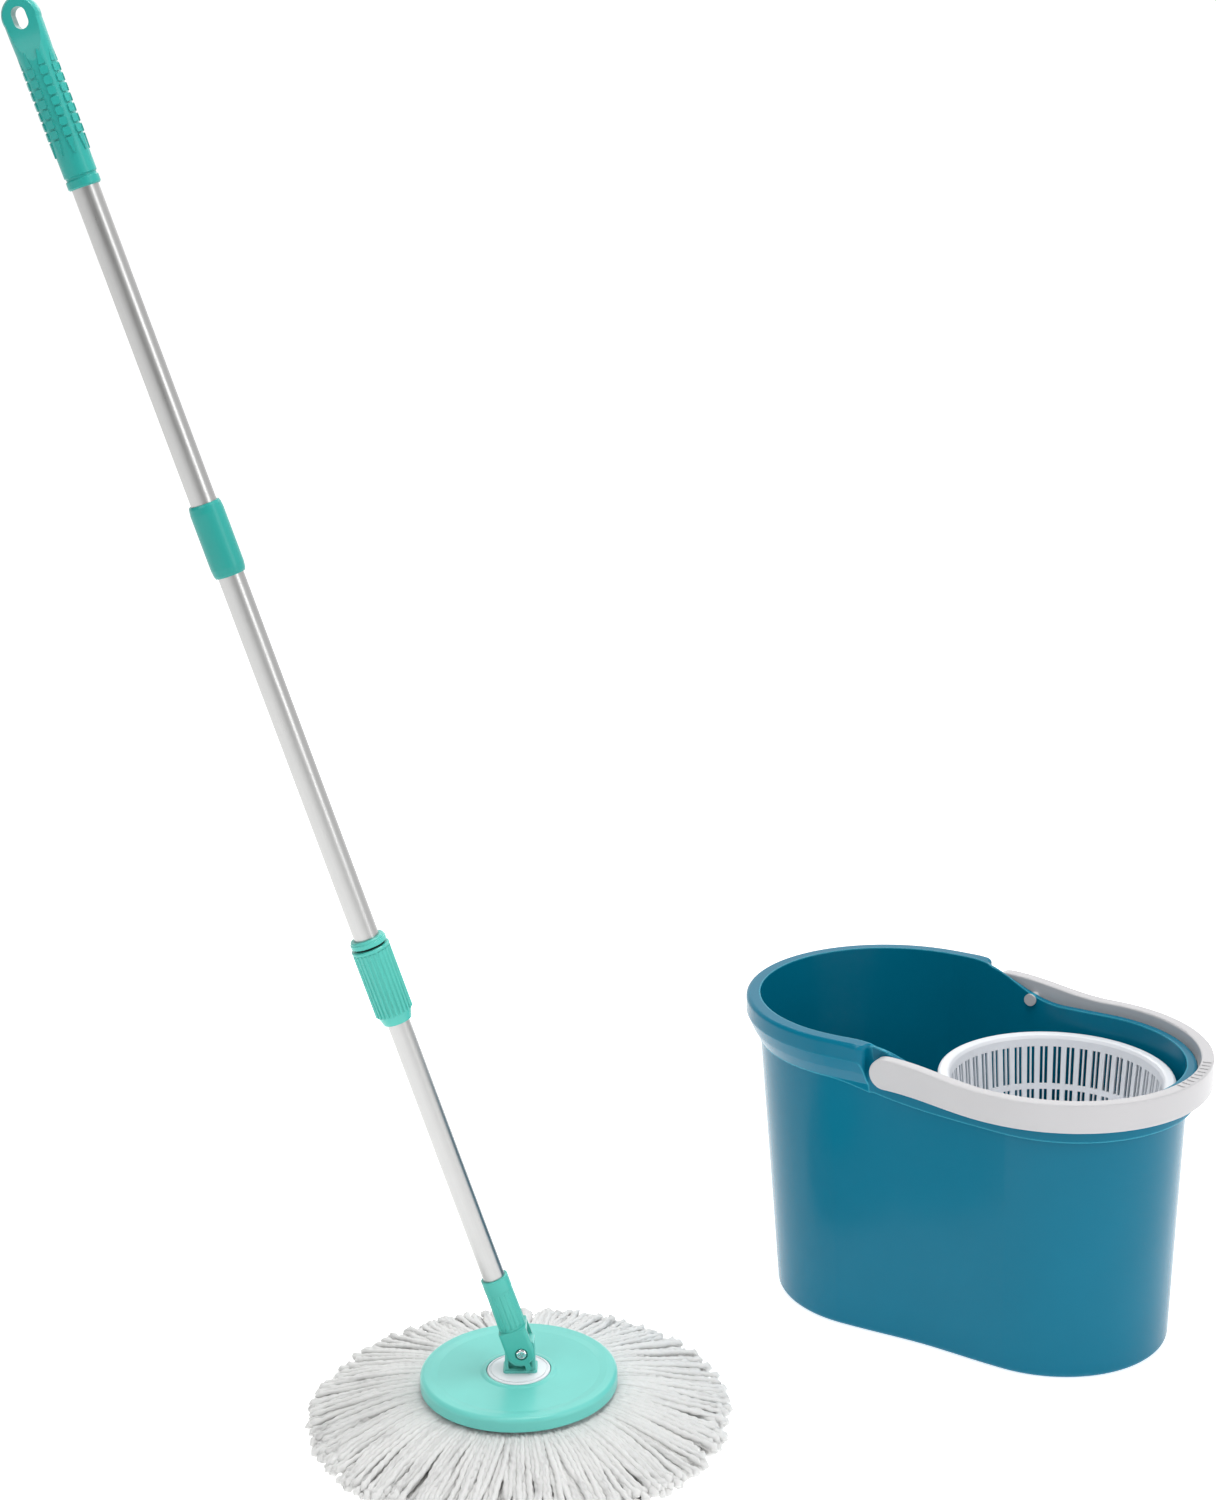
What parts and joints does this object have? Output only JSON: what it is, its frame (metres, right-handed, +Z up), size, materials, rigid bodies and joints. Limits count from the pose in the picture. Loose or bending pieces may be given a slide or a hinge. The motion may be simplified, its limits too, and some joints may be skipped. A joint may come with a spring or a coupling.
{
  "type": "spin mop",
  "caption": "Spin mop with a telescopic press handle, a swivelling round fringe head and a wringer bucket with a spin basket and a fold-down bail",
  "frame": {"origin": "centre of the mop head on the floor", "axes": "+Z up; +Y is the pivot screw's axis, away from the viewer; the handle leans toward -X and the bucket stands toward +X and +Y"},
  "size_m": [0.972, 0.5681, 1.1724],
  "materials": {
    "teal_plastic": "moulded, satin gloss",
    "mint_plastic": "moulded, satin gloss",
    "disc_mint": "moulded, satin gloss",
    "white_plastic": "moulded, satin gloss",
    "bucket_blue": "moulded, glossy",
    "bail_grey": "moulded, satin gloss",
    "tube_aluminium": "drawn and anodised, satin",
    "bright_steel": "plated",
    "plain_steel": "bright drawn",
    "natural_acetal": "moulded, matte",
    "black_acetal": "moulded, matte",
    "fibre": "microfibre pile"
  },
  "bodies": {
    "bucket": {"bucket_shell": "bucket_blue", "basket_post": "white_plastic", "spindle_pin": "plain_steel", "thrust_washer": "natural_acetal", "retaining_clip": "plain_steel"},
    "bail": {"bail_handle": "bail_grey", "bail_pins": "bail_grey"},
    "spin_basket": {"basket": "white_plastic", "hub_bush": "natural_acetal", "basket_cap": "white_plastic"},
    "mop_head": {"disc_top": "disc_mint", "refill_ring": "white_plastic", "strand_pad": "fibre"},
    "swivel": {"centre_plate": "white_plastic", "clevis_base": "disc_mint", "swivel_stem": "natural_acetal", "stem_washer": "plain_steel", "stem_screw": "bright_steel"},
    "lower_handle": {"yoke_socket": "mint_plastic", "pivot_screw": "bright_steel", "pivot_nut": "plain_steel", "lower_tube": "tube_aluminium", "nut_housing": "black_acetal", "clutch_ring": "plain_steel", "housing_cap": "black_acetal"},
    "nut": {"drive_nut": "natural_acetal"},
    "upper_handle": {"middle_tube": "tube_aluminium", "upper_tube": "tube_aluminium", "joint_plug": "black_acetal", "coupling_sleeve": "teal_plastic", "rod_anchor": "black_acetal", "spiral_rod": "plain_steel", "anchor_pin": "plain_steel", "rod_end_stop": "black_acetal", "lock_collet": "black_acetal", "collar_base": "mint_plastic", "hand_grip": "teal_plastic"},
    "collar": {"lock_collar": "mint_plastic"}
  },
  "joints": [
    {"name": "bail_swing", "type": "hinge", "parent": "bucket", "child": "bail", "pos_m": [0.41687, 0.20095, 0.2635], "axis": [-0.5505, -0.8348, 0], "range_deg": [0, 100]},
    {"name": "basket_spin", "type": "hinge", "parent": "bucket", "child": "spin_basket", "pos_m": [0.47949, 0.15966, 0.15], "axis": [0, 0, 1], "continuous": true},
    {"name": "mop_lift", "type": "slide", "parent": "bucket", "child": "mop_head", "axis": [0, 0, 1], "range_m": [0, 0.35]},
    {"name": "head_swivel", "type": "hinge", "parent": "mop_head", "child": "swivel", "pos_m": [0, 0, 0.045], "axis": [0, 0, 1], "continuous": true},
    {"name": "handle_tilt", "type": "hinge", "parent": "swivel", "child": "lower_handle", "pos_m": [0.003, 0, 0.067], "axis": [0, 1, 0], "range_deg": [-20, 55]},
    {"name": "handle_press", "type": "slide", "parent": "lower_handle", "child": "upper_handle", "axis": [-0.3007, 0, 0.9537], "range_m": [-0.19, 0]},
    {"name": "nut_spin", "type": "hinge", "parent": "lower_handle", "child": "nut", "pos_m": [-0.14169, 0, 0.52258], "axis": [-0.3007, 0, 0.9537], "range_deg": [-10, 770]},
    {"name": "collar_twist", "type": "hinge", "parent": "upper_handle", "child": "collar", "pos_m": [-0.10019, 0, 0.39096], "axis": [-0.3007, 0, 0.9537], "range_deg": [0, 90]}
  ],
  "couplings": [
    {"joint": "nut_spin", "follows": "handle_press", "rad_per_m": -69.813}
  ]
}
